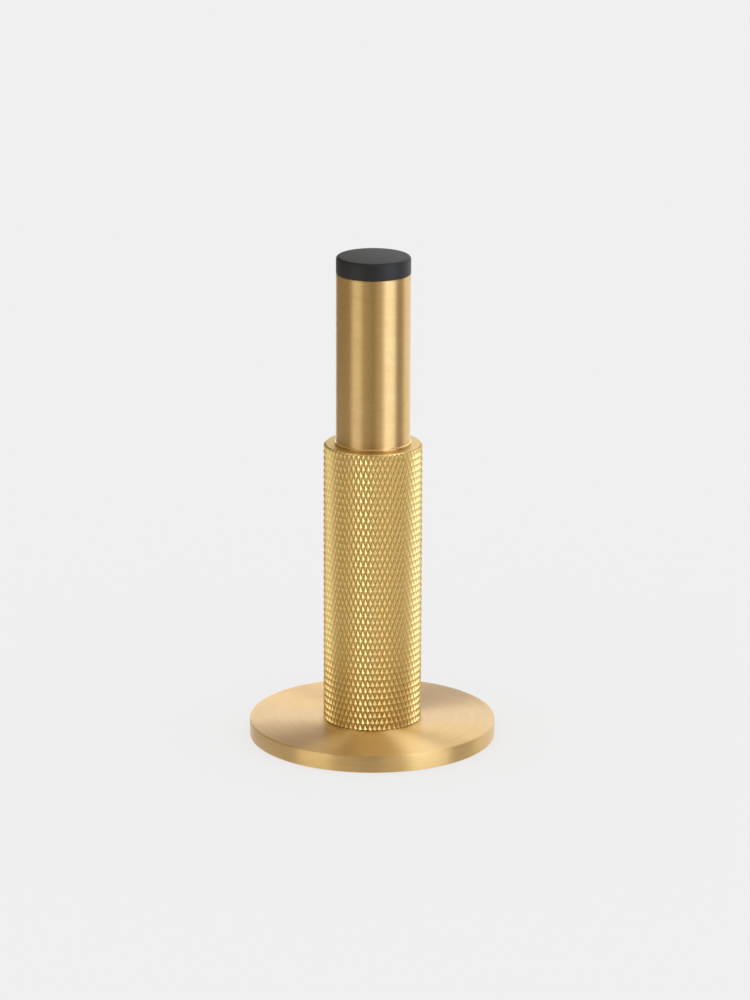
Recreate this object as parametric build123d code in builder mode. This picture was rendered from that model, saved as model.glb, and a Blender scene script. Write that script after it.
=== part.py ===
from build123d import *

import math
import os

# Knurled door stop: a round base plate, a knurled sleeve and a plain stem, turned in brass, with
# a moulded rubber buffer on the end. It stands on its base along +Z, with the origin at the
# centre of the base plate's underside. All sizes are in millimetres.

# Base plate
base_diameter = 50.0
base_thickness = 3.5
base_edge_break = 0.2

# Knurled sleeve. The knurl's pitch is measured round the sleeve from tip to tip, and its helix
# angle from the sleeve's axis. Whole numbers of teeth are fitted to the two. The inset is how
# far inside the roots of the knurl's grooves the flat ends of the sleeve stop.
sleeve_diameter = 20.0
sleeve_length = 58.0
sleeve_head_chamfer = 0.5
sleeve_foot_chamfer = 0.3
sleeve_end_inset = 0.1
knurl_pitch = 1.05
knurl_depth = 0.4
knurl_helix_angle = 21.5

# Stem: the plain head that shows, with a low collar round its foot that seats on the sleeve, the
# shank in the sleeve and the threaded foot in the base plate
head_diameter = 15.0
head_length = 35.0
head_edge_break = 0.2
collar_width = 0.2
collar_height = 0.6
collar_edge_break = 0.15
shoulder_width = 1.5
foot_step = 1.0
foot_chamfer = 0.5
foot_recess = 0.3

# Tapped blind hole in the foot for an M6 hanger bolt, drawn at its tapping size
bolt_hole_diameter = 5.0
bolt_hole_depth = 14.0
bolt_hole_countersink = 0.6

# Rubber buffer: the disc that shows, with a rounded edge made of a few flats on an arc, and the
# plug in the stem's end
buffer_thickness = 3.5
buffer_edge_radius = 1.1
buffer_edge_flats = 3
plug_bore_diameter = 8.0
plug_length = 8.0

# Clearances between mating pieces, radial unless they are named as gaps
shank_clearance = 0.1
foot_clearance = 0.05
plug_clearance = 0.05
clamp_gap = 0.3
plug_end_gap = 1.0

# Heights of the seats above the floor
sleeve_seat = base_thickness
shoulder_seat = sleeve_seat + sleeve_length
buffer_seat = shoulder_seat + head_length

# Sizes that follow from the seats and the clearances
shank_diameter = head_diameter - 2 * shoulder_width
foot_diameter = shank_diameter - 2 * foot_step
sleeve_bore_diameter = shank_diameter + 2 * shank_clearance
base_hole_diameter = foot_diameter + 2 * foot_clearance
bolt_hole_radius = bolt_hole_diameter / 2
plug_bore_radius = plug_bore_diameter / 2
plug_radius = plug_bore_radius - plug_clearance


# Base plate: a disc with a broken upper edge and the tapped hole that takes the stem's foot
with BuildPart() as base_plate:
    with BuildSketch():
        Circle(base_diameter / 2)
        Circle(base_hole_diameter / 2, mode=Mode.SUBTRACT)
    extrude(amount=base_thickness)
    upper_rim = base_plate.edges().group_by(Axis.Z)[-1].sort_by(SortBy.RADIUS)[-1]
    chamfer(upper_rim, base_edge_break)

# The knurl is two hands of V-grooves that cross. Between them stand four-sided pyramids in
# staggered rows, with their tips at the sleeve's diameter and their corners at the root of the
# grooves. Each tip and each crossing of two grooves lies on a grid of half pitches: `step`
# counts round the sleeve and `level` up it. A tip stands where the two add up to an odd number.
knurl_starts = round(math.pi * sleeve_diameter / knurl_pitch)
step_angle = 180 / knurl_starts
pitch_up = math.pi * sleeve_diameter / knurl_starts / math.tan(math.radians(knurl_helix_angle))
knurl_length = sleeve_length - sleeve_head_chamfer - sleeve_foot_chamfer
top_level = round(knurl_length / (pitch_up / 2))
level_height = knurl_length / top_level
tip_radius = sleeve_diameter / 2
root_radius = tip_radius - knurl_depth
end_radius = root_radius - sleeve_end_inset


def sleeve_point(radius, step, height):
    """A point `step` half pitches round the sleeve and `height` above its foot."""
    return Vector(radius, 0, sleeve_seat + height).rotate(Axis.Z, step * step_angle)


def knurl_point(step, level):
    """A tip of the knurl, or a crossing of two grooves."""
    radius = tip_radius if (step + level) % 2 else root_radius
    return sleeve_point(radius, step, sleeve_foot_chamfer + level * level_height)


def tip_steps(level):
    """The places round the sleeve where a level has its tips."""
    return range((level + 1) % 2, 2 * knurl_starts, 2)


def facet(*corners):
    """A flat face with the given corners."""
    return Face(Wire.make_polygon(corners, close=True))


def flanks(step, level, next_level):
    """The two flanks of a tooth that run from its level towards the next one."""
    tip = knurl_point(step, level)
    crossing = knurl_point(step, next_level)
    left = knurl_point(step - 1, level)
    right = knurl_point(step + 1, level)
    return [facet(tip, right, crossing), facet(tip, crossing, left)]


def chamfer_facets(step, level, end_height):
    """The end chamfer on half a tooth, from its level to the sleeve's flat end."""
    tip = knurl_point(step, level)
    left = knurl_point(step - 1, level)
    right = knurl_point(step + 1, level)
    end_left = sleeve_point(end_radius, step - 1, end_height)
    end_right = sleeve_point(end_radius, step + 1, end_height)
    return [facet(left, tip, end_left), facet(end_left, tip, end_right), facet(tip, right, end_right)]


def flat_end(level, end_height):
    """The sleeve's flat end, inside the chamfer."""
    return facet(*[sleeve_point(end_radius, step - 1, end_height) for step in tip_steps(level)])


# Knurled sleeve: the skin of the knurled bar, closed by a chamfer and a flat face at each end,
# is made solid and bored
skin = [flat_end(0, 0), flat_end(top_level, sleeve_length)]
for level in range(top_level + 1):
    for step in tip_steps(level):
        if level > 0:
            skin += flanks(step, level, level - 1)
        else:
            skin += chamfer_facets(step, level, 0)
        if level < top_level:
            skin += flanks(step, level, level + 1)
        else:
            skin += chamfer_facets(step, level, sleeve_length)
knurled_bar = Solid(Shell(skin))

with BuildPart() as knurled_sleeve:
    add(knurled_bar, clean=False)
    with BuildSketch(Plane.XY.offset(sleeve_seat)):
        Circle(sleeve_bore_diameter / 2)
    extrude(amount=sleeve_length, mode=Mode.SUBTRACT, clean=False)

# Stem: turned in one piece. Its shoulder holds the sleeve down on the base plate, and the foot
# screws into the base plate and stops short of its underside. The collar's top is a cone.
shank_end = sleeve_seat + clamp_gap
head_radius = head_diameter / 2
collar_radius = head_radius + collar_width
collar_top = shoulder_seat + collar_height
with BuildPart() as stem:
    with BuildSketch(Plane.XZ):
        with BuildLine():
            Polyline(
                (0, foot_recess),
                (foot_diameter / 2 - foot_chamfer, foot_recess),
                (foot_diameter / 2, foot_recess + foot_chamfer),
                (foot_diameter / 2, shank_end),
                (shank_diameter / 2, shank_end),
                (shank_diameter / 2, shoulder_seat),
                (collar_radius - collar_edge_break, shoulder_seat),
                (collar_radius, shoulder_seat + collar_edge_break),
                (collar_radius, collar_top - collar_width),
                (head_radius, collar_top),
                (head_radius, buffer_seat - head_edge_break),
                (head_radius - head_edge_break, buffer_seat),
                (0, buffer_seat),
                close=True,
            )
        make_face()
    revolve(axis=Axis.Z)
    with Locations(Plane.XY.offset(foot_recess).rotated((180, 0, 0))):
        CounterSinkHole(
            bolt_hole_radius,
            bolt_hole_radius + bolt_hole_countersink,
            depth=bolt_hole_depth,
            counter_sink_angle=90,
        )
    with Locations((0, 0, buffer_seat)):
        Hole(plug_bore_radius, depth=plug_length + plug_end_gap)

# Rubber buffer: a disc as wide as the stem, with a plug that the stem's bore grips
plug_tip = buffer_seat - plug_length
buffer_outline = [
    (0, plug_tip),
    (plug_radius, plug_tip),
    (plug_radius, buffer_seat),
    (head_radius, buffer_seat),
]
edge_radius = head_radius - buffer_edge_radius
edge_height = buffer_seat + buffer_thickness - buffer_edge_radius
for flat in range(buffer_edge_flats + 1):
    turn = math.radians(90 * flat / buffer_edge_flats)
    buffer_outline.append(
        (
            edge_radius + buffer_edge_radius * math.cos(turn),
            edge_height + buffer_edge_radius * math.sin(turn),
        )
    )
buffer_outline.append((0, buffer_seat + buffer_thickness))
with BuildPart() as rubber_buffer:
    with BuildSketch(Plane.XZ):
        with BuildLine():
            Polyline(*buffer_outline, close=True)
        make_face()
    revolve(axis=Axis.Z)

os.makedirs("parts", exist_ok=True)
base_plate.part.label = "base_plate"
export_step(base_plate.part, "parts/base_plate.step")
knurled_sleeve.part.label = "knurled_sleeve"
export_step(knurled_sleeve.part, "parts/knurled_sleeve.step", write_pcurves=False)
stem.part.label = "stem"
export_step(stem.part, "parts/stem.step")
rubber_buffer.part.label = "rubber_buffer"
export_step(rubber_buffer.part, "parts/rubber_buffer.step")
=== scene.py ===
import math

import bmesh
import bpy
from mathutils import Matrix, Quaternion, Vector


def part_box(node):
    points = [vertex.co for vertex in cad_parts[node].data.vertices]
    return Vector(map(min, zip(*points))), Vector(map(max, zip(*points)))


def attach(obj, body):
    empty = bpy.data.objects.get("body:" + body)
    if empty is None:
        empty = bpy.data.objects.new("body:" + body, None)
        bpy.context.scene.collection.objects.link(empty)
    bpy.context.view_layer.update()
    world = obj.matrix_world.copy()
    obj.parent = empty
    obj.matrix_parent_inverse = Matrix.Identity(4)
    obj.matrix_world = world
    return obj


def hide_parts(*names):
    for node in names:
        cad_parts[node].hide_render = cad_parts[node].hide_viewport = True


# Knurled door stop: base plate, stem and knurled sleeve in brass, and a rubber buffer, each turned
# or moulded about the Z axis. All sizes are in metres.

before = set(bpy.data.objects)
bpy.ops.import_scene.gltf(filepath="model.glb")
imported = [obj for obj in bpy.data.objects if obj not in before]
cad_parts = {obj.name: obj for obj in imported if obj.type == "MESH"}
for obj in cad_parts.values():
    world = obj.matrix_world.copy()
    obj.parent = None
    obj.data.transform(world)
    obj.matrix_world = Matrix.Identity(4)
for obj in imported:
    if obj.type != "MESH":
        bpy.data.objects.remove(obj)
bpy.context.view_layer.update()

MM = 0.001

# Sizes read from the frame. The buffer is as wide as the stem's head.
base_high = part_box("base_plate")[1]
sleeve_low, sleeve_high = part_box("knurled_sleeve")
stem_low, stem_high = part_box("stem")
buffer_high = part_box("rubber_buffer")[1]
BASE_RADIUS = base_high.x
BASE_TOP = base_high.z
SLEEVE_RADIUS = sleeve_high.x
SLEEVE_FOOT = sleeve_low.z
SLEEVE_HEAD = sleeve_high.z
COLLAR_RADIUS = stem_high.x
HEAD_RADIUS = buffer_high.x
STEM_FOOT = stem_low.z
STEM_TOP = stem_high.z
BUFFER_TOP = buffer_high.z

# Base plate
BASE_SIDES = 240
BASE_EDGE = 0.2 * MM
BASE_HOLE_RADIUS = 5.05 * MM
BASE_HOLE_CHAMFER = 0.35 * MM

# Knurled sleeve, with the count of teeth round it and of half rows of teeth up it
KNURL_STARTS = 60
KNURL_LEVELS = 43
KNURL_DEPTH = 0.4 * MM
KNURL_EDGE = 0.015 * MM
KNURL_EDGE_ANGLE = math.radians(20)
KNURL_ROOT_RADIUS = SLEEVE_RADIUS - KNURL_DEPTH
SLEEVE_HEAD_CHAMFER = 0.5 * MM
SLEEVE_FOOT_CHAMFER = 0.3 * MM
SLEEVE_END_INSET = 0.1 * MM
SLEEVE_END_RADIUS = KNURL_ROOT_RADIUS - SLEEVE_END_INSET
SLEEVE_BORE_RADIUS = 6.1 * MM

# Stem: the foot and shank that don't show, the collar with its cone, and the head
SHANK_RADIUS = 6.0 * MM
CLAMP_GAP = 0.3 * MM
SHANK_END = BASE_TOP + CLAMP_GAP
FOOT_RADIUS = 5.0 * MM
FOOT_CHAMFER = 0.5 * MM
COLLAR_HEIGHT = 0.6 * MM
COLLAR_TOP = SLEEVE_HEAD + COLLAR_HEIGHT
CONE_FOOT = COLLAR_TOP - (COLLAR_RADIUS - HEAD_RADIUS)
COLLAR_SEAM_EDGE = 0.15 * MM
HEAD_EDGE = 0.2 * MM
PLUG_BORE_RADIUS = 4.0 * MM
PLUG_BORE_DEPTH = 9.0 * MM

# M6 thread in the stem's foot, with the rows and steps in which a turn of it is drawn
THREAD_RADIUS = 2.95 * MM
THREAD_CREST_RADIUS = 2.5 * MM
THREAD_PITCH = 1.0 * MM
THREAD_ROWS = 8
THREAD_STEPS = 24
THREAD_DEPTH = 14.0 * MM
THREAD_COUNTERSINK = 0.6 * MM

# Rubber buffer
PLUG_RADIUS = 3.95 * MM
PLUG_LENGTH = 8.0 * MM
PLUG_EDGE = 0.5 * MM
BUFFER_EDGE = 0.6 * MM
BUFFER_EDGE_SEGMENTS = 10
BUFFER_SEAM_EDGE = 0.15 * MM

# How finely round forms are drawn, and up to what angle a face runs on smoothly into the next
TURNED_SIDES = 180
EDGE_SEGMENTS = 3
SMOOTH_ANGLE = math.radians(30)

# How near to a place counts as there, and how upright the normal of a flat end is at least
TOUCH = 0.01 * MM
FLAT_NORMAL = 0.9

# Satin brass. The cone's share is how rough its fresh cut is beside the brushed faces.
BRASS_COLOUR = "#e8c480"
BRASS_DARK_COLOUR = "#dfb874"
STEM_ROUGHNESS = 0.51
PLATE_ROUGHNESS = 0.46
ROUGHNESS_SWING = 0.08
CONE_CUT_SHARE = 0.5
LACQUER_SHARE = 0.6
LACQUER_ROUGHNESS = 0.35

# The gloss is stretched across the brushed lines, a quarter turn from the way round the axis
BRUSHED_STRETCH = 1.0
QUARTER_TURN = 0.25

# Brushed lines, drawn coarser than the real ones, which are too fine to show
LINE_SPACING = 0.16 * MM
LINE_DEPTH = 0.0015 * MM
LINE_RELIEF = 0.3
LINE_ROUGHNESS = 0.6
STREAK_SPACING = 7 * LINE_SPACING

# How long the lines are round the axis, in radians, and how much longer the streaks are
STEM_LINE_TURN = 0.35
PLATE_LINE_TURN = 0.25
STREAK_TURN_FACTOR = 1.7

# Noise: the two values between which it mostly lies, and how many finer layers it has
NOISE_LOW = 0.3
NOISE_HIGH = 0.7
NOISE_DETAIL = 2.0
NOISE_FINE_DETAIL = 3.0

# Knurled brass, with a grain drawn coarser than the real one, which is too fine to show
KNURL_GROOVE_SHARE = 0.3
# The groove colour is painted shade: the bottoms of the grooves are drawn darker than the crests
KNURL_GROOVE_SHADE_COLOUR = "#b6965a"
KNURL_CREST_COLOUR = "#e2c784"
KNURL_GROOVE_ROUGHNESS = 0.45
KNURL_CREST_ROUGHNESS = 0.38
FACED_END_ROUGHNESS = 0.45
KNURL_GRAIN = 0.25 * MM
KNURL_GRAIN_DEPTH = 0.01 * MM
KNURL_GRAIN_RELIEF = 0.2

# Black rubber, with a grain drawn coarser than the real one, which is too fine to show
RUBBER_COLOUR = "#151514"
RUBBER_DARK_COLOUR = "#0e0e0e"
RUBBER_ROUGHNESS = 0.52
RUBBER_IOR = 1.43
RUBBER_GRAIN = 0.3 * MM
RUBBER_GRAIN_DEPTH = 0.01 * MM
RUBBER_GRAIN_RELIEF = 0.3
RUBBER_CLOUD = 4 * MM

# Studio
BACKGROUND = "#f0f0f0"
FILL_LEVEL = 1.14
FLOOR_SIDES = 96
FLOOR_RADIUS = 6.0
FLOOR_GAP = 0.02 * MM
FLOOR_OWN_SHARE = 0.75
SOFTBOX_COLOUR = "#ffffff"
COOL_SOFTBOX_COLOUR = "#dee9ff"
FLAG_COLOUR = "#d8c8b0"
CARD_SIDES = 120
CARD_DISTANCE = 0.2
CARD_TOP = 0.45
FOOT_CARD_TOP = 0.04
REAR_LOW_CARD_TOP = 0.13
TOP_SOFTBOX_RADIUS = 0.1
TOP_FLAG_RADIUS = 0.22
TOP_FLAG_GAP = 0.005

# Camera, fitted to the photograph: lens and sensor in millimetres, angles in degrees
CAMERA_LENS = 166.99
CAMERA_SENSOR = 36
CAMERA_DISTANCE = 0.9358
CAMERA_ELEVATION = 16.086
CAMERA_ROLL = 0.172
CAMERA_AIM = Vector((0.00043, 0, 0.0495))
CAMERA_NEAR = 0.05
CAMERA_FAR = 50


# Modelling, as by hand


def start_edit(piece):
    """Opens one piece for editing, with nothing else selected."""
    bpy.ops.object.select_all(action="DESELECT")
    bpy.context.view_layer.objects.active = piece
    piece.select_set(True)
    bpy.ops.object.mode_set(mode="EDIT")
    bpy.ops.mesh.select_all(action="DESELECT")


def end_edit(smooth_angle=SMOOTH_ANGLE):
    """Points the faces outwards, closes the edit and smooths what isn't an edge."""
    bpy.ops.mesh.select_all(action="SELECT")
    bpy.ops.mesh.normals_make_consistent(inside=False)
    bpy.ops.mesh.select_all(action="DESELECT")
    bpy.ops.object.mode_set(mode="OBJECT")
    bpy.ops.object.shade_smooth_by_angle(angle=smooth_angle)


def pick(piece, kind, chosen):
    """Selects the vertices, edges or faces for which chosen() is true, and nothing else."""
    bpy.ops.mesh.select_all(action="DESELECT")
    bpy.ops.mesh.select_mode(type={"verts": "VERT", "edges": "EDGE", "faces": "FACE"}[kind])
    shape = bmesh.from_edit_mesh(piece.data)
    for element in getattr(shape, kind):
        if chosen(element):
            element.select_set(True)
    bmesh.update_edit_mesh(piece.data)


def radius_of(point):
    """Distance of a point from the axis of the door stop."""
    return math.hypot(point.x, point.y)


def on_ring(radius, height):
    """A test for the edges of the ring with that radius and height."""
    def chosen(edge):
        return all(
            abs(vertex.co.z - height) < TOUCH and abs(radius_of(vertex.co) - radius) < TOUCH
            for vertex in edge.verts
        )
    return chosen


def is_end(face):
    """Whether a face is a flat end of a bar. All other faces have four corners at most."""
    return len(face.verts) > 4


def flat_end(height, upwards):
    """A test for the flat end at a height that looks up or down."""
    def chosen(face):
        facing = face.normal.z if upwards else -face.normal.z
        level = abs(face.calc_center_median().z - height) < TOUCH
        return is_end(face) and level and facing > FLAT_NORMAL
    return chosen


def resize_round_axis(scale):
    """Draws what is selected away from the axis, or towards it."""
    bpy.ops.transform.resize(value=(scale, scale, 1), center_override=(0, 0, 0))


def break_edge(piece, radius, height, width, segments=EDGE_SEGMENTS):
    """Rounds a sharp ring, or chamfers it if segments is 1."""
    pick(piece, "edges", on_ring(radius, height))
    bpy.ops.mesh.bevel(offset=width, segments=segments, profile=0.5, affect="EDGES")


def draw_out(outline):
    """Draws the selected flat end on from each corner of a turned outline to the next."""
    for (radius, height), (next_radius, next_height) in zip(outline, outline[1:]):
        bpy.ops.mesh.extrude_region_move(
            TRANSFORM_OT_translate={"value": (0, 0, next_height - height)}
        )
        resize_round_axis(next_radius / radius)


def turned_bar(name, radius, low, high, sides=TURNED_SIDES):
    """A plain bar between two heights, open for editing."""
    bpy.ops.object.select_all(action="DESELECT")
    bpy.ops.mesh.primitive_cylinder_add(
        vertices=sides, radius=radius, depth=high - low, location=(0, 0, (low + high) / 2)
    )
    bar = bpy.context.object
    bar.name = name
    bpy.ops.object.transform_apply(location=True, rotation=True, scale=True)
    start_edit(bar)
    return bar


def bore_through(piece, radius, low, high, outer_radius):
    """Bores a piece from its lower flat end to its upper one."""
    for height, upwards in ((low, False), (high, True)):
        pick(piece, "faces", flat_end(height, upwards))
        draw_out([(outer_radius, height), (radius, height)])
    pick(
        piece,
        "faces",
        lambda face: is_end(face) and radius_of(face.verts[0].co) < radius + TOUCH,
    )
    bpy.ops.mesh.bridge_edge_loops()


def apply_modifier(piece, kind, **settings):
    """Adds a modifier with its settings and applies it."""
    bpy.ops.object.select_all(action="DESELECT")
    bpy.context.view_layer.objects.active = piece
    piece.select_set(True)
    modifier = piece.modifiers.new(kind.title(), kind)
    for setting, value in settings.items():
        setattr(modifier, setting, value)
    bpy.ops.object.modifier_apply(modifier=modifier.name)


# Pieces


def make_base_plate():
    """The turned disc, with both rims broken and a countersunk hole for the stem's foot."""
    plate = turned_bar("brass_base_plate", BASE_RADIUS, 0, BASE_TOP, sides=BASE_SIDES)
    bore_through(plate, BASE_HOLE_RADIUS, 0, BASE_TOP, BASE_RADIUS)
    break_edge(plate, BASE_RADIUS, BASE_TOP, BASE_EDGE)
    break_edge(plate, BASE_RADIUS, 0, BASE_EDGE)
    break_edge(plate, BASE_HOLE_RADIUS, 0, BASE_HOLE_CHAMFER, segments=1)
    end_edit()
    return plate


def cut_thread(stem, low, high):
    """Cuts a right-handed thread in the plain wall of the fixing hole, between two heights. The
    wall is divided into rows, and each point is drawn in by its place on the thread's flanks."""
    def along_wall(edge):
        bottom, top = sorted(vertex.co.z for vertex in edge.verts)
        widest = max(radius_of(vertex.co) for vertex in edge.verts)
        return top - bottom > high - low - TOUCH and widest < THREAD_RADIUS + TOUCH

    def on_wall(point):
        between = low + TOUCH < point.z < high - TOUCH
        return between and abs(radius_of(point) - THREAD_RADIUS) < TOUCH / 2

    def step_of(point):
        turns = (point.z - low) / THREAD_PITCH - math.atan2(point.y, point.x) / (2 * math.pi)
        return round(turns % 1 * THREAD_STEPS) % THREAD_STEPS

    pick(stem, "edges", along_wall)
    rows = round((high - low) / THREAD_PITCH * THREAD_ROWS)
    bpy.ops.mesh.subdivide(number_cuts=rows - 1)
    for step in range(THREAD_STEPS):
        height = 1 - abs(2 * step / THREAD_STEPS - 1)
        pick(stem, "verts", lambda vertex: on_wall(vertex.co) and step_of(vertex.co) == step)
        resize_round_axis(1 - height * (THREAD_RADIUS - THREAD_CREST_RADIUS) / THREAD_RADIUS)


def make_stem():
    """The turned stem: foot, shank, collar and head, with the bore for the buffer's plug in its
    top and the threaded hole for the fixing in its foot."""
    stem = turned_bar("brass_stem", FOOT_RADIUS, STEM_FOOT, SHANK_END)
    pick(stem, "faces", flat_end(SHANK_END, True))
    draw_out(
        [
            (FOOT_RADIUS, SHANK_END),
            (SHANK_RADIUS, SHANK_END),
            (SHANK_RADIUS, SLEEVE_HEAD),
            (COLLAR_RADIUS, SLEEVE_HEAD),
            (COLLAR_RADIUS, CONE_FOOT),
            (HEAD_RADIUS, COLLAR_TOP),
            (HEAD_RADIUS, STEM_TOP),
            (PLUG_BORE_RADIUS, STEM_TOP),
            (PLUG_BORE_RADIUS, STEM_TOP - PLUG_BORE_DEPTH),
        ]
    )
    pick(stem, "faces", flat_end(STEM_FOOT, False))
    draw_out(
        [
            (FOOT_RADIUS, STEM_FOOT),
            (THREAD_RADIUS + THREAD_COUNTERSINK, STEM_FOOT),
            (THREAD_RADIUS, STEM_FOOT + THREAD_COUNTERSINK),
            (THREAD_RADIUS, STEM_FOOT + THREAD_DEPTH),
        ]
    )
    cut_thread(stem, STEM_FOOT + THREAD_COUNTERSINK, STEM_FOOT + THREAD_DEPTH)
    break_edge(stem, FOOT_RADIUS, STEM_FOOT, FOOT_CHAMFER, segments=1)
    break_edge(stem, COLLAR_RADIUS, SLEEVE_HEAD, COLLAR_SEAM_EDGE)
    break_edge(stem, HEAD_RADIUS, STEM_TOP, HEAD_EDGE)
    end_edit()
    return stem


def make_buffer():
    """The moulded disc with a rounded edge, and the plug below it."""
    buffer = turned_bar("rubber_buffer_disc", PLUG_RADIUS, STEM_TOP - PLUG_LENGTH, STEM_TOP)
    pick(buffer, "faces", flat_end(STEM_TOP, True))
    draw_out(
        [
            (PLUG_RADIUS, STEM_TOP),
            (HEAD_RADIUS, STEM_TOP),
            (HEAD_RADIUS, BUFFER_TOP),
        ]
    )
    break_edge(buffer, HEAD_RADIUS, BUFFER_TOP, BUFFER_EDGE, segments=BUFFER_EDGE_SEGMENTS)
    break_edge(buffer, HEAD_RADIUS, STEM_TOP, BUFFER_SEAM_EDGE)
    break_edge(buffer, PLUG_RADIUS, STEM_TOP - PLUG_LENGTH, PLUG_EDGE)
    end_edit()
    return buffer


def press_teeth(sleeve, low, high):
    """Divides the plain bar into half teeth, round it and up it, and presses out every tip."""
    turn_step = math.pi / KNURL_STARTS
    level_step = (high - low) / KNURL_LEVELS

    def along_axis(edge):
        return abs(edge.verts[0].co.z - edge.verts[1].co.z) > TOUCH

    def on_tip(vertex):
        turn = round(math.atan2(vertex.co.x, vertex.co.y) / turn_step)
        level = round((vertex.co.z - low) / level_step)
        return (turn + level) % 2 == 1

    pick(sleeve, "edges", along_axis)
    bpy.ops.mesh.subdivide(number_cuts=KNURL_LEVELS - 1)
    pick(sleeve, "verts", on_tip)
    resize_round_axis(SLEEVE_RADIUS / KNURL_ROOT_RADIUS)


def chamfer_ends(sleeve, low, high):
    """Draws both ends of the knurled bar out to the sleeve's ends, and in to their radius."""
    for height, rise, upwards in (
        (low, -SLEEVE_FOOT_CHAMFER, False),
        (high, SLEEVE_HEAD_CHAMFER, True),
    ):
        pick(sleeve, "faces", flat_end(height, upwards))
        bpy.ops.mesh.extrude_region_move(TRANSFORM_OT_translate={"value": (0, 0, rise)})
    for radius in (SLEEVE_RADIUS, KNURL_ROOT_RADIUS):
        pick(
            sleeve,
            "verts",
            lambda vertex: not low - TOUCH < vertex.co.z < high + TOUCH
            and abs(radius_of(vertex.co) - radius) < TOUCH,
        )
        resize_round_axis(SLEEVE_END_RADIUS / radius)


def make_knurled_sleeve():
    """The knurled tube: a bar with rows of four-sided teeth, chamfered ends and a plain bore. Each
    edge of a tooth gets a fine flat, as rolling and wear leave it."""
    low = SLEEVE_FOOT + SLEEVE_FOOT_CHAMFER
    high = SLEEVE_HEAD - SLEEVE_HEAD_CHAMFER
    sides = 2 * KNURL_STARTS
    sleeve = turned_bar("knurled_brass_sleeve", KNURL_ROOT_RADIUS, low, high, sides=sides)
    press_teeth(sleeve, low, high)
    chamfer_ends(sleeve, low, high)
    bore_through(sleeve, SLEEVE_BORE_RADIUS, SLEEVE_FOOT, SLEEVE_HEAD, SLEEVE_END_RADIUS)
    pick(sleeve, "faces", lambda face: radius_of(face.calc_center_median()) > SLEEVE_END_RADIUS)
    bpy.ops.mesh.quads_convert_to_tris(quad_method="SHORTEST_DIAGONAL")
    end_edit(smooth_angle=0)
    apply_modifier(sleeve, "BEVEL", width=KNURL_EDGE, segments=1, angle_limit=KNURL_EDGE_ANGLE)

    # The new flats are pointed outwards and left unsmoothed too
    start_edit(sleeve)
    end_edit(smooth_angle=0)
    return sleeve


# Finishes


def linear(code):
    """A colour written as an sRGB hex code, as linear RGBA."""
    shares = [int(code[start:start + 2], 16) / 255 for start in (1, 3, 5)]
    colour = [
        share / 12.92 if share <= 0.04045 else ((share + 0.055) / 1.055) ** 2.4
        for share in shares
    ]
    return colour + [1.0]


def add(owner, kind, inputs=None, **settings):
    """Adds a node with its settings to a material or a world. Each input is a value, or another
    node's output to link."""
    node = owner.node_tree.nodes.new(kind)
    for setting, value in settings.items():
        setattr(node, setting, value)
    for socket, value in (inputs or {}).items():
        if isinstance(value, bpy.types.NodeSocket):
            owner.node_tree.links.new(value, node.inputs[socket])
        else:
            node.inputs[socket].default_value = value
    return node


def new_material(name):
    """A material without nodes."""
    material = bpy.data.materials.new(name)
    material.use_nodes = True
    material.node_tree.nodes.clear()
    return material


def place_and_outward(material):
    """Sockets of the place on the piece, and of the level way to it from the axis."""
    place = add(material, "ShaderNodeTexCoord").outputs["Object"]
    outward = add(material, "ShaderNodeVectorMath", {0: place, 1: (1, 1, 0)}, operation="MULTIPLY")
    return place, outward.outputs[0]


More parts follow.
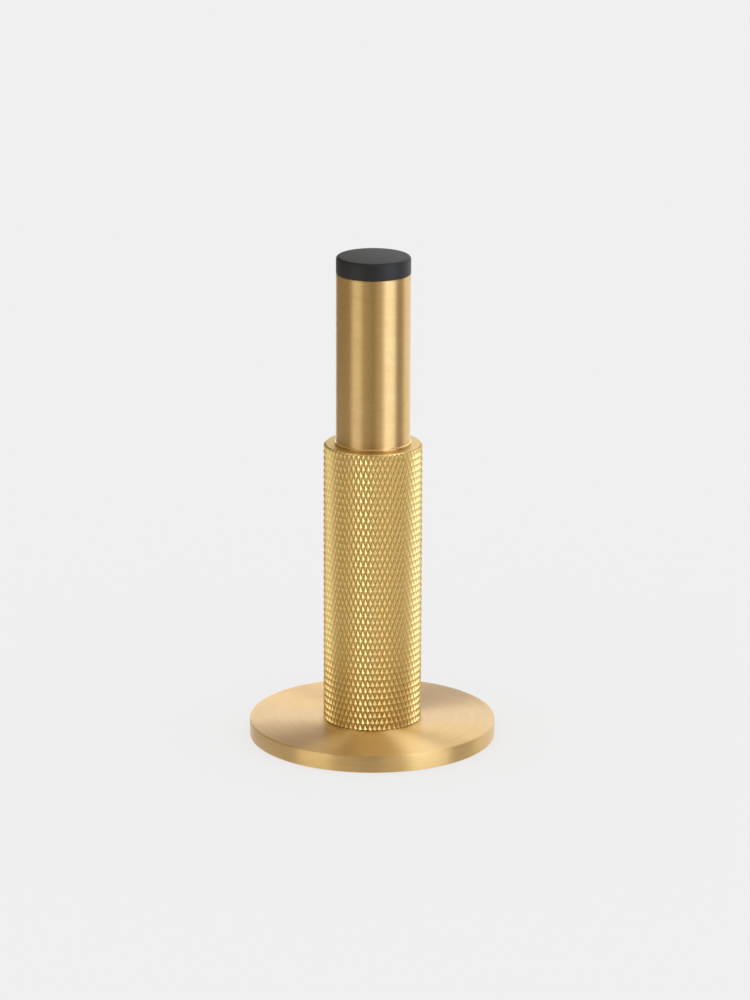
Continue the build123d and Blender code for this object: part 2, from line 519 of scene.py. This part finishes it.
def brushed_brass(name, roughness, line_turn):
    """Brass turned and satin brushed round its axis: fine lines that run round it, faint streaks
    of tone between them, and a gloss that spreads across the lines and not along them. A thin
    clear lacquer pales its highlights, and a fresh cut leaves the collar's cone brighter."""
    material = new_material(name)
    place, outward = place_and_outward(material)
    radius = add(material, "ShaderNodeVectorMath", {0: outward}, operation="LENGTH")
    unit = add(material, "ShaderNodeVectorMath", {0: outward}, operation="NORMALIZE")
    height = add(material, "ShaderNodeSeparateXYZ", {0: place}).outputs["Z"]
    across = add(
        material,
        "ShaderNodeMath",
        {0: radius.outputs["Value"], 1: height},
        operation="ADD",
    )

    def lines(spacing, turn, detail):
        """Noise that is long round the axis and short across it."""
        along = add(
            material,
            "ShaderNodeVectorMath",
            {0: unit.outputs[0], "Scale": 1 / turn},
            operation="SCALE",
        )
        count = add(
            material,
            "ShaderNodeMath",
            {0: across.outputs[0], 1: 1 / spacing},
            operation="MULTIPLY",
        )
        upward = add(material, "ShaderNodeCombineXYZ", {"Z": count.outputs[0]})
        where = add(
            material,
            "ShaderNodeVectorMath",
            {0: along.outputs[0], 1: upward.outputs[0]},
            operation="ADD",
        )
        noise = add(
            material,
            "ShaderNodeTexNoise",
            {
                "Vector": where.outputs[0],
                "Scale": 1.0,
                "Detail": detail,
                "Roughness": LINE_ROUGHNESS,
            },
        )
        return noise.outputs["Fac"]

    fine = lines(LINE_SPACING, line_turn, NOISE_FINE_DETAIL)
    broad = lines(STREAK_SPACING, line_turn * STREAK_TURN_FACTOR, NOISE_DETAIL)
    halves = []
    for noise in (fine, broad):
        half = add(
            material,
            "ShaderNodeMapRange",
            {"Value": noise, "From Min": NOISE_LOW, "From Max": NOISE_HIGH, "To Max": 0.5},
        )
        halves.append(half.outputs[0])
    share = add(material, "ShaderNodeMath", {0: halves[0], 1: halves[1]}, operation="ADD")
    colour = add(
        material,
        "ShaderNodeMix",
        {
            "Factor": share.outputs[0],
            "A": linear(BRASS_DARK_COLOUR),
            "B": linear(BRASS_COLOUR),
        },
        data_type="RGBA",
    )
    brushed = add(
        material,
        "ShaderNodeMapRange",
        {
            "Value": fine,
            "From Min": NOISE_LOW,
            "From Max": NOISE_HIGH,
            "To Min": roughness * (1 + ROUGHNESS_SWING),
            "To Max": roughness * (1 - ROUGHNESS_SWING),
        },
    )
    on_cone = add(
        material,
        "ShaderNodeMath",
        {0: height, 1: (CONE_FOOT + COLLAR_TOP) / 2, 2: (COLLAR_TOP - CONE_FOOT) / 2},
        operation="COMPARE",
    )
    cut = add(
        material,
        "ShaderNodeMapRange",
        {"Value": on_cone.outputs[0], "To Min": 1.0, "To Max": CONE_CUT_SHARE},
    )
    gloss = add(
        material,
        "ShaderNodeMath",
        {0: brushed.outputs[0], 1: cut.outputs[0]},
        operation="MULTIPLY",
    )
    relief = add(
        material,
        "ShaderNodeBump",
        {"Strength": LINE_RELIEF, "Distance": LINE_DEPTH, "Height": fine},
    )
    tangent = add(material, "ShaderNodeTangent", direction_type="RADIAL", axis="Z")
    shader = add(
        material,
        "ShaderNodeBsdfPrincipled",
        {
            "Base Color": colour.outputs[2],
            "Metallic": 1.0,
            "Roughness": gloss.outputs[0],
            "Anisotropic": BRUSHED_STRETCH,
            "Anisotropic Rotation": QUARTER_TURN,
            "Tangent": tangent.outputs[0],
            "Normal": relief.outputs[0],
            "Coat Weight": LACQUER_SHARE,
            "Coat Roughness": LACQUER_ROUGHNESS,
        },
    )
    add(material, "ShaderNodeOutputMaterial", {"Surface": shader.outputs[0]})
    return material


def knurled_brass():
    """Brass with a rolled knurl: flanks and crests glossy from the roller and from hands, duller
    grooves whose bottoms are painted darker as shade, and flat ends, faced on the lathe, in the
    crests' colour."""
    material = new_material("knurled_brass_rolled")
    place, outward = place_and_outward(material)
    radius = add(material, "ShaderNodeVectorMath", {0: outward}, operation="LENGTH")
    crest_share = add(
        material,
        "ShaderNodeMapRange",
        {
            "Value": radius.outputs["Value"],
            "From Min": KNURL_ROOT_RADIUS,
            "From Max": KNURL_ROOT_RADIUS + KNURL_GROOVE_SHARE * KNURL_DEPTH,
        },
    )
    faced_end = add(
        material,
        "ShaderNodeMapRange",
        {
            "Value": radius.outputs["Value"],
            "From Min": SLEEVE_END_RADIUS,
            "From Max": KNURL_ROOT_RADIUS,
            "To Min": 1.0,
            "To Max": 0.0,
        },
    )
    unshaded_share = add(
        material,
        "ShaderNodeMath",
        {0: crest_share.outputs[0], 1: faced_end.outputs[0]},
        operation="MAXIMUM",
    )
    # Painted shade: the bottoms of the grooves take the darker groove colour, and the crests and
    # faced ends take the crest colour
    colour = add(
        material,
        "ShaderNodeMix",
        {
            "Factor": unshaded_share.outputs[0],
            "A": linear(KNURL_GROOVE_SHADE_COLOUR),
            "B": linear(KNURL_CREST_COLOUR),
        },
        data_type="RGBA",
    )
    dull = add(
        material,
        "ShaderNodeMapRange",
        {
            "Value": faced_end.outputs[0],
            "To Min": KNURL_GROOVE_ROUGHNESS,
            "To Max": FACED_END_ROUGHNESS,
        },
    )
    gloss = add(
        material,
        "ShaderNodeMapRange",
        {
            "Value": crest_share.outputs[0],
            "To Min": dull.outputs[0],
            "To Max": KNURL_CREST_ROUGHNESS,
        },
    )
    grain = add(
        material,
        "ShaderNodeTexNoise",
        {"Vector": place, "Scale": 1 / KNURL_GRAIN, "Detail": NOISE_DETAIL},
    )
    relief = add(
        material,
        "ShaderNodeBump",
        {
            "Strength": KNURL_GRAIN_RELIEF,
            "Distance": KNURL_GRAIN_DEPTH,
            "Height": grain.outputs["Fac"],
        },
    )
    shader = add(
        material,
        "ShaderNodeBsdfPrincipled",
        {
            "Base Color": colour.outputs[2],
            "Metallic": 1.0,
            "Roughness": gloss.outputs[0],
            "Normal": relief.outputs[0],
        },
    )
    add(material, "ShaderNodeOutputMaterial", {"Surface": shader.outputs[0]})
    return material


def moulded_rubber():
    """Black moulded rubber: matt, with the fine even grain of a spark-eroded mould, and a black
    that clouds a little from place to place."""
    material = new_material("black_rubber_moulded")
    place = add(material, "ShaderNodeTexCoord").outputs["Object"]
    cloud = add(
        material,
        "ShaderNodeTexNoise",
        {"Vector": place, "Scale": 1 / RUBBER_CLOUD, "Detail": NOISE_DETAIL},
    )
    colour = add(
        material,
        "ShaderNodeMix",
        {
            "Factor": cloud.outputs["Fac"],
            "A": linear(RUBBER_DARK_COLOUR),
            "B": linear(RUBBER_COLOUR),
        },
        data_type="RGBA",
    )
    grain = add(
        material,
        "ShaderNodeTexNoise",
        {"Vector": place, "Scale": 1 / RUBBER_GRAIN, "Detail": NOISE_FINE_DETAIL},
    )
    relief = add(
        material,
        "ShaderNodeBump",
        {
            "Strength": RUBBER_GRAIN_RELIEF,
            "Distance": RUBBER_GRAIN_DEPTH,
            "Height": grain.outputs["Fac"],
        },
    )
    shader = add(
        material,
        "ShaderNodeBsdfPrincipled",
        {
            "Base Color": colour.outputs[2],
            "Roughness": RUBBER_ROUGHNESS,
            "IOR": RUBBER_IOR,
            "Normal": relief.outputs[0],
        },
    )
    add(material, "ShaderNodeOutputMaterial", {"Surface": shader.outputs[0]})
    return material


# Stage: a plain pale floor and soft studio light


def seen_directly(owner):
    """Socket that is 1 for what the camera sees, or sees in metal or glass, and otherwise 0."""
    path = add(owner, "ShaderNodeLightPath").outputs
    seen = path["Is Camera Ray"]
    for ray in ("Is Glossy Ray", "Is Transmission Ray"):
        either = add(owner, "ShaderNodeMath", {0: seen, 1: path[ray]}, operation="MAXIMUM")
        seen = either.outputs[0]
    return seen


def make_floor():
    """A wide pale floor. Seen directly, it is mostly its own even tone, and the lit rest keeps a
    faint, soft shadow. It lies a hair below the underside of the base plate, so that the two
    faces don't share a plane."""
    bpy.ops.object.select_all(action="DESELECT")
    bpy.ops.mesh.primitive_circle_add(
        vertices=FLOOR_SIDES, radius=FLOOR_RADIUS, fill_type="NGON", location=(0, 0, -FLOOR_GAP)
    )
    floor = bpy.context.object
    floor.name = "floor"
    material = new_material("pale_floor")
    own = add(material, "ShaderNodeEmission", {"Color": linear(BACKGROUND), "Strength": 1.0})
    lit = add(material, "ShaderNodeBsdfDiffuse", {"Color": linear(BACKGROUND)})
    share = add(
        material,
        "ShaderNodeMath",
        {0: seen_directly(material), 1: FLOOR_OWN_SHARE},
        operation="MULTIPLY",
    )
    mixed = add(
        material,
        "ShaderNodeMixShader",
        {0: share.outputs[0], 1: lit.outputs[0], 2: own.outputs[0]},
    )
    add(material, "ShaderNodeOutputMaterial", {"Surface": mixed.outputs[0]})
    floor.data.materials.append(material)


def make_world():
    """A pale studio: as bright as the background to look at, and a soft fill as a light."""
    world = bpy.data.worlds.new("studio")
    bpy.context.scene.world = world
    world.use_nodes = True
    world.node_tree.nodes.clear()
    level = add(
        world,
        "ShaderNodeMapRange",
        {"Value": seen_directly(world), "To Min": FILL_LEVEL, "To Max": 1.0},
    )
    background = add(
        world,
        "ShaderNodeBackground",
        {"Color": linear(BACKGROUND), "Strength": level.outputs[0]},
    )
    add(world, "ShaderNodeOutputWorld", {"Surface": background.outputs[0]})


def finish_card(card, name, colour, strength):
    """Gives a card its name and its glow, and hides it from the camera and from matt surfaces."""
    card.name = name
    material = new_material(name)
    glow = add(material, "ShaderNodeEmission", {"Color": linear(colour), "Strength": strength})
    add(material, "ShaderNodeOutputMaterial", {"Surface": glow.outputs[0]})
    card.data.materials.append(material)
    card.visible_camera = False
    card.visible_shadow = False
    card.visible_diffuse = False


def make_card(name, first, last, low, high, colour, strength):
    """A curved card round the object, from its first to its last azimuth, in degrees to the right
    from the camera's side, and from one height to another. A bright one is a softbox and a dark
    one a flag, and they are seen only in what reflects them."""
    bpy.ops.object.select_all(action="DESELECT")
    bpy.ops.mesh.primitive_cylinder_add(
        vertices=CARD_SIDES,
        radius=CARD_DISTANCE,
        depth=high - low,
        end_fill_type="NOTHING",
        location=(0, 0, (low + high) / 2),
    )
    card = bpy.context.object
    start_edit(card)

    def outside(face):
        middle = face.calc_center_median()
        azimuth = math.degrees(math.atan2(middle.x, -middle.y))
        return (azimuth - first) % 360 > last - first

    pick(card, "faces", outside)
    bpy.ops.mesh.delete(type="FACE")
    bpy.ops.object.mode_set(mode="OBJECT")
    finish_card(card, name, colour, strength)


def make_top_card(name, radius, height, colour, strength):
    """A round card that lies level over the object, and is seen only in what reflects it."""
    bpy.ops.object.select_all(action="DESELECT")
    bpy.ops.mesh.primitive_circle_add(
        vertices=CARD_SIDES, radius=radius, fill_type="NGON", location=(0, 0, height)
    )
    finish_card(bpy.context.object, name, colour, strength)


def make_camera():
    """The photograph's view: a long lens, from the front and a little above."""
    data = bpy.data.cameras.new("camera")
    data.lens = CAMERA_LENS
    data.sensor_width = CAMERA_SENSOR
    data.clip_start = CAMERA_NEAR
    data.clip_end = CAMERA_FAR
    camera = bpy.data.objects.new("camera", data)
    bpy.context.scene.collection.objects.link(camera)
    rise = math.radians(CAMERA_ELEVATION)
    back = Vector((0, -math.cos(rise), math.sin(rise)))
    camera.location = CAMERA_AIM + back * CAMERA_DISTANCE
    camera.rotation_mode = "QUATERNION"
    level = (-back).to_track_quat("-Z", "Y")
    camera.rotation_quaternion = level @ Quaternion((0, 0, 1), math.radians(CAMERA_ROLL))
    bpy.context.scene.camera = camera


# The door stop, piece by piece: its finish, the node that it replaces and the node's slot

satin_stem = brushed_brass("satin_brass_stem", STEM_ROUGHNESS, STEM_LINE_TURN)
satin_plate = brushed_brass("satin_brass_plate", PLATE_ROUGHNESS, PLATE_LINE_TURN)
pieces = [
    (make_base_plate(), satin_plate, "base_plate", "satin_brass"),
    (make_stem(), satin_stem, "stem", "satin_brass"),
    (make_knurled_sleeve(), knurled_brass(), "knurled_sleeve", "knurled_brass"),
    (make_buffer(), moulded_rubber(), "rubber_buffer", "black_rubber"),
]
for piece, material, node, slot in pieces:
    piece.data.materials.append(material)
    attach(piece, "root")
    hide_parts(node)

# The studio

make_floor()
make_world()
make_card("softbox_rear", 160, 184, 0, CARD_TOP, SOFTBOX_COLOUR, strength=1.25)
make_card("softbox_rear_low", 184, 210, 0, REAR_LOW_CARD_TOP, SOFTBOX_COLOUR, strength=1.25)
make_card("flag_rear", 184, 210, REAR_LOW_CARD_TOP, CARD_TOP, FLAG_COLOUR, strength=0.3)
make_card("flag_rear_left", -150, -69, 0, CARD_TOP, FLAG_COLOUR, strength=0.6)
make_card("softbox_left_foot", -69, -35, 0, FOOT_CARD_TOP, SOFTBOX_COLOUR, strength=2.8)
make_card("softbox_left", -69, -35, FOOT_CARD_TOP, CARD_TOP, SOFTBOX_COLOUR, strength=1.25)
make_card("flag_front_left", -35, -10, 0, CARD_TOP, FLAG_COLOUR, strength=0.75)
make_card("flag_front", -10, 10, 0, CARD_TOP, FLAG_COLOUR, strength=0.4)
make_card("flag_front_right", 10, 33, 0, CARD_TOP, FLAG_COLOUR, strength=1.1)
make_card("softbox_right_foot", 33, 71, 0, FOOT_CARD_TOP, COOL_SOFTBOX_COLOUR, strength=4.2)
make_card("softbox_right", 33, 71, FOOT_CARD_TOP, CARD_TOP, COOL_SOFTBOX_COLOUR, strength=3.3)
make_card("flag_right", 71, 104, 0, CARD_TOP, FLAG_COLOUR, strength=0.5)
make_card("softbox_rear_right", 104, 132, 0, CARD_TOP, SOFTBOX_COLOUR, strength=1.35)
make_card("softbox_rear_far_right", 132, 160, 0, CARD_TOP, SOFTBOX_COLOUR, strength=1.3)
make_top_card("softbox_top", TOP_SOFTBOX_RADIUS, CARD_TOP, SOFTBOX_COLOUR, strength=1.5)
make_top_card("flag_top", TOP_FLAG_RADIUS, CARD_TOP + TOP_FLAG_GAP, FLAG_COLOUR, strength=0.3)
make_camera()

bpy.context.scene.view_settings.view_transform = "Standard"
